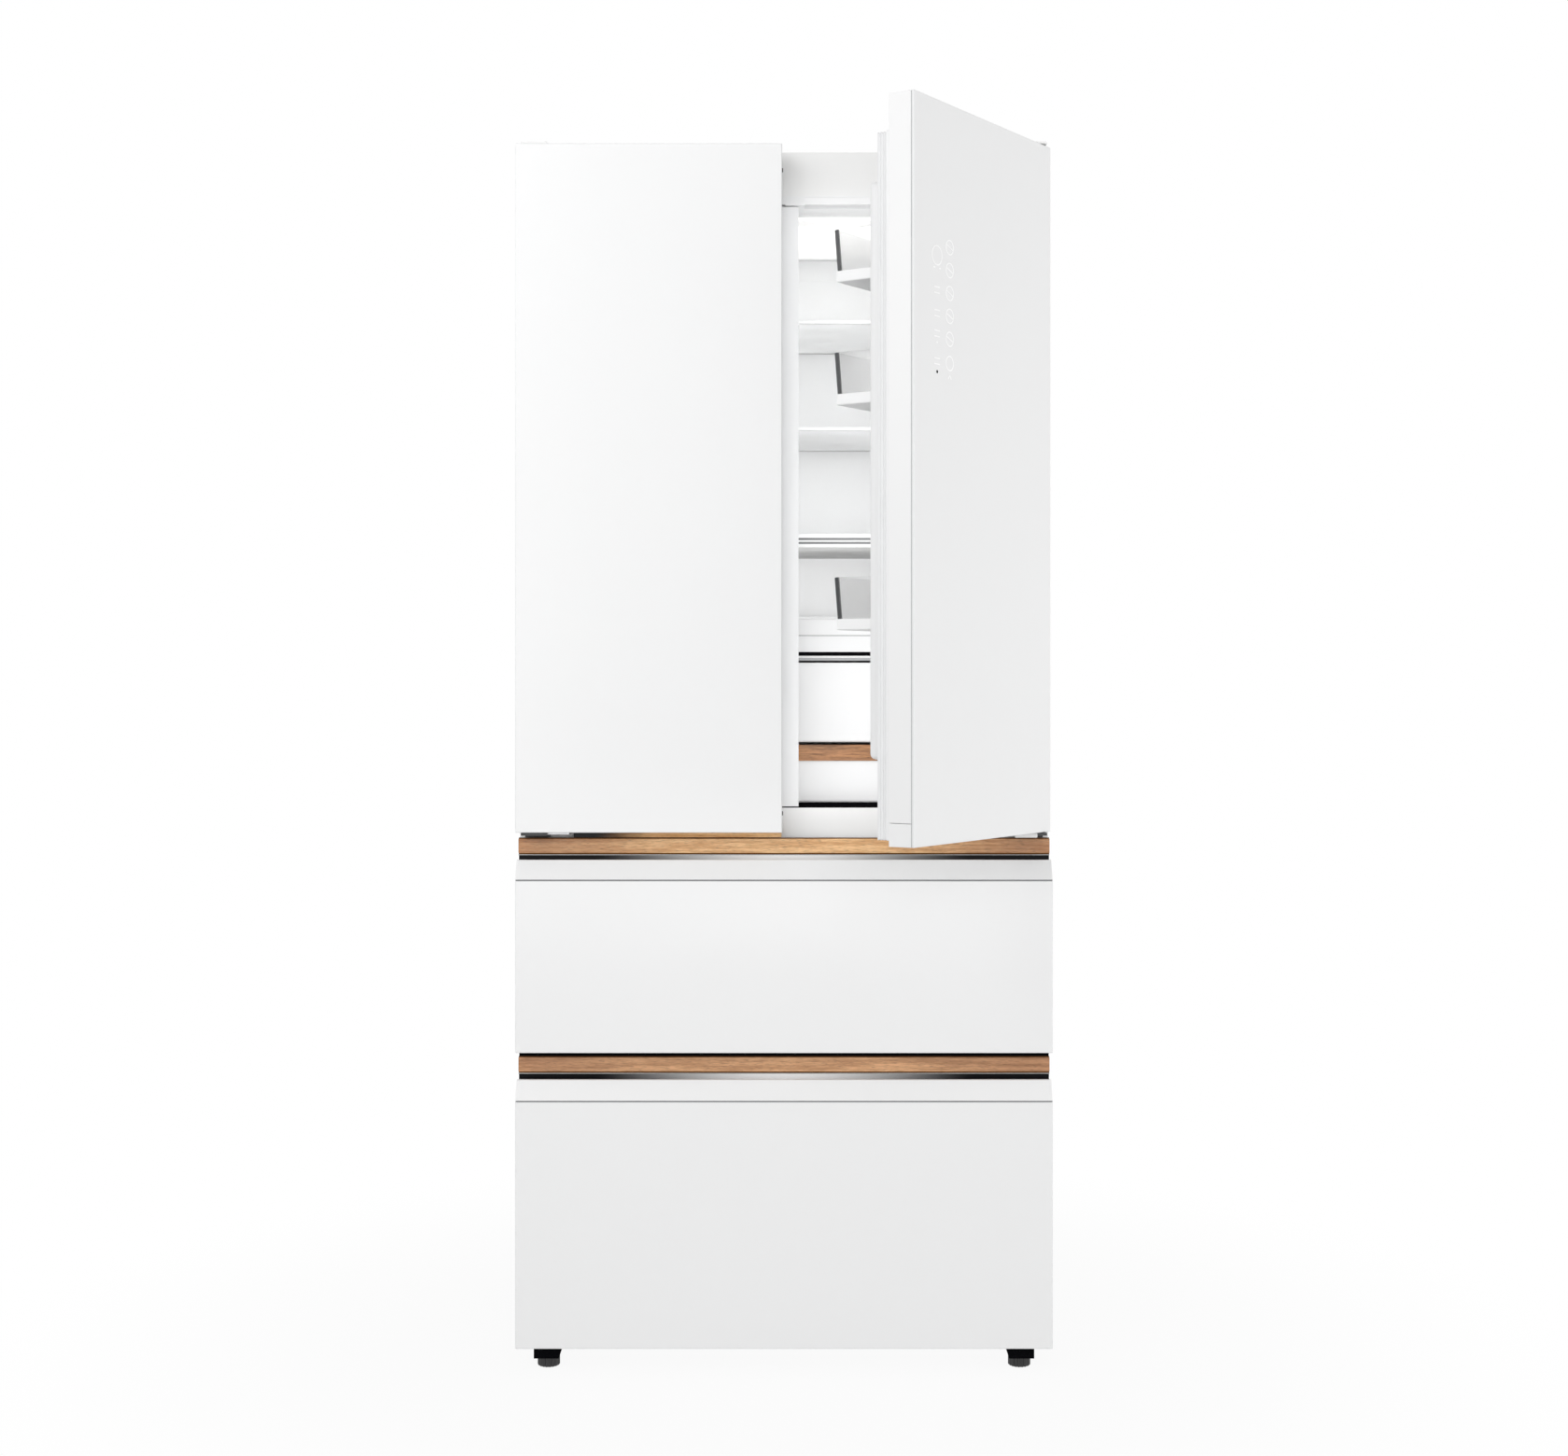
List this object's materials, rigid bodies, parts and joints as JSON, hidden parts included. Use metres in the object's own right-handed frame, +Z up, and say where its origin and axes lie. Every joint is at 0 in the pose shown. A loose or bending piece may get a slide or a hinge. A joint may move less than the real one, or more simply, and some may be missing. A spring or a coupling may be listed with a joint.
{
  "type": "multi-door refrigerator",
  "caption": "Free-standing white refrigerator with paired fridge doors, one ajar, over full-width freezer drawers with bevelled pulls and wood-look strips.",
  "frame": {"origin": "on the floor, centred on the width and on the depth from the open right door's free edge to the back panel", "axes": "+Z up, +X to the right as seen from the front, +Y from the front to the back"},
  "size_m": [0.8332, 0.9716, 1.9129],
  "materials": {
    "white_steel": "satin",
    "grey_steel": "satin",
    "foam": "matte",
    "white_liner": "satin",
    "white_case": "satin",
    "white_glass": "gloss",
    "grey_gasket": "matte",
    "clear_plastic": "gloss",
    "clear_glass": "gloss",
    "white_tub": "gloss",
    "wood_look": "satin",
    "lamp_cover": "matte",
    "mullion_cover": "satin",
    "black_plastic": "satin",
    "black_steel": "satin",
    "coil_aluminium": "satin"
  },
  "bodies": {
    "cabinet": {"left_side_panel": "white_steel", "right_side_panel": "white_steel", "top_panel": "white_steel", "back_panel": "grey_steel", "base_pan": "grey_steel", "insulation_foam": "foam", "fridge_liner": "white_liner", "upper_drawer_liner": "white_liner", "lower_drawer_liner": "white_liner", "upper_crossbeam": "white_steel", "lower_crossbeam": "white_steel", "mullion_guide": "white_liner", "top_hinges": "grey_steel", "mid_hinges": "grey_steel", "hinge_covers": "white_liner", "hinge_screws": "grey_steel", "compressor": "black_steel", "condenser": "coil_aluminium", "fan_motor": "black_steel", "evaporator": "coil_aluminium", "duct_cover": "white_liner", "ceiling_lamp": "lamp_cover", "machine_cover": "grey_steel", "foot_brackets": "black_plastic", "shelf_glass": "clear_glass", "shelf_trims": "white_liner", "crisper_cover": "white_liner", "fixed_rails": "grey_steel"},
    "left_door": {"left_door_glass": "white_glass", "left_door_case": "white_case", "left_door_liner": "white_liner", "left_door_gasket": "grey_gasket", "left_door_bins": "clear_plastic"},
    "flip_mullion": {"flip_mullion": "mullion_cover"},
    "right_door": {"right_door_glass": "white_glass", "right_door_case": "white_case", "right_door_liner": "white_liner", "right_door_gasket": "grey_gasket", "right_door_bins": "clear_plastic"},
    "upper_drawer": {"upper_drawer_glass": "white_glass", "upper_drawer_case": "white_case", "upper_drawer_strip": "wood_look", "upper_drawer_gasket": "grey_gasket", "upper_drawer_basket": "white_tub", "upper_drawer_runners": "grey_steel"},
    "upper_middle_rails": {"upper_drawer_slides": "grey_steel"},
    "lower_drawer": {"lower_drawer_glass": "white_glass", "lower_drawer_case": "white_case", "lower_drawer_strip": "wood_look", "lower_drawer_gasket": "grey_gasket", "lower_drawer_basket": "white_tub", "lower_drawer_runners": "grey_steel"},
    "lower_middle_rails": {"lower_drawer_slides": "grey_steel"},
    "chill_drawer": {"chill_drawer": "white_tub"},
    "crisper": {"crisper_drawer": "white_tub", "crisper_trim": "wood_look"},
    "left_foot": {"left_foot": "black_plastic"},
    "right_foot": {"right_foot": "black_plastic"},
    "rear_rollers": {"rear_rollers": "black_plastic"},
    "condenser_fan": {"condenser_fan": "black_plastic"}
  },
  "joints": [
    {"name": "right_door_hinge", "type": "hinge", "parent": "cabinet", "child": "right_door", "pos_m": [0.3885, -0.159, 1.375], "axis": [0, 0, 1], "range_deg": [-55.6, 74.4]},
    {"name": "left_door_hinge", "type": "hinge", "parent": "cabinet", "child": "left_door", "pos_m": [-0.3885, -0.159, 1.375], "axis": [0, 0, -1], "range_deg": [0, 130]},
    {"name": "flip_mullion_hinge", "type": "hinge", "parent": "left_door", "child": "flip_mullion", "pos_m": [-0.032, -0.097, 1.38], "axis": [0, 0, 1], "range_deg": [0, 90]},
    {"name": "upper_drawer_slide", "type": "slide", "parent": "cabinet", "child": "upper_drawer", "axis": [0, -1, 0], "range_m": [0, 0.38]},
    {"name": "upper_middle_rail_slide", "type": "slide", "parent": "cabinet", "child": "upper_middle_rails", "axis": [0, -1, 0], "range_m": [0, 0.19]},
    {"name": "lower_drawer_slide", "type": "slide", "parent": "cabinet", "child": "lower_drawer", "axis": [0, -1, 0], "range_m": [0, 0.31]},
    {"name": "lower_middle_rail_slide", "type": "slide", "parent": "cabinet", "child": "lower_middle_rails", "axis": [0, -1, 0], "range_m": [0, 0.155]},
    {"name": "chill_drawer_slide", "type": "slide", "parent": "cabinet", "child": "chill_drawer", "axis": [0, -1, 0], "range_m": [0, 0.06]},
    {"name": "crisper_slide", "type": "slide", "parent": "cabinet", "child": "crisper", "axis": [0, -1, 0], "range_m": [0, 0.06]},
    {"name": "left_foot_screw", "type": "hinge", "parent": "cabinet", "child": "left_foot", "pos_m": [-0.368, -0.139, 0], "axis": [0, 0, 1], "continuous": true},
    {"name": "right_foot_screw", "type": "hinge", "parent": "cabinet", "child": "right_foot", "pos_m": [0.368, -0.139, 0], "axis": [0, 0, 1], "continuous": true},
    {"name": "rear_roller_axle", "type": "hinge", "parent": "cabinet", "child": "rear_rollers", "pos_m": [0.34, 0.426, 0.0155], "axis": [1, 0, 0], "continuous": true},
    {"name": "condenser_fan_spin", "type": "hinge", "parent": "cabinet", "child": "condenser_fan", "pos_m": [0.07, 0.3815, 0.1459], "axis": [1, 0, 0], "continuous": true}
  ],
  "couplings": [
    {"joint": "flip_mullion_hinge", "follows": "left_door_hinge", "ratio": 0.69},
    {"joint": "upper_middle_rail_slide", "follows": "upper_drawer_slide", "ratio": 0.5},
    {"joint": "lower_middle_rail_slide", "follows": "lower_drawer_slide", "ratio": 0.5}
  ]
}
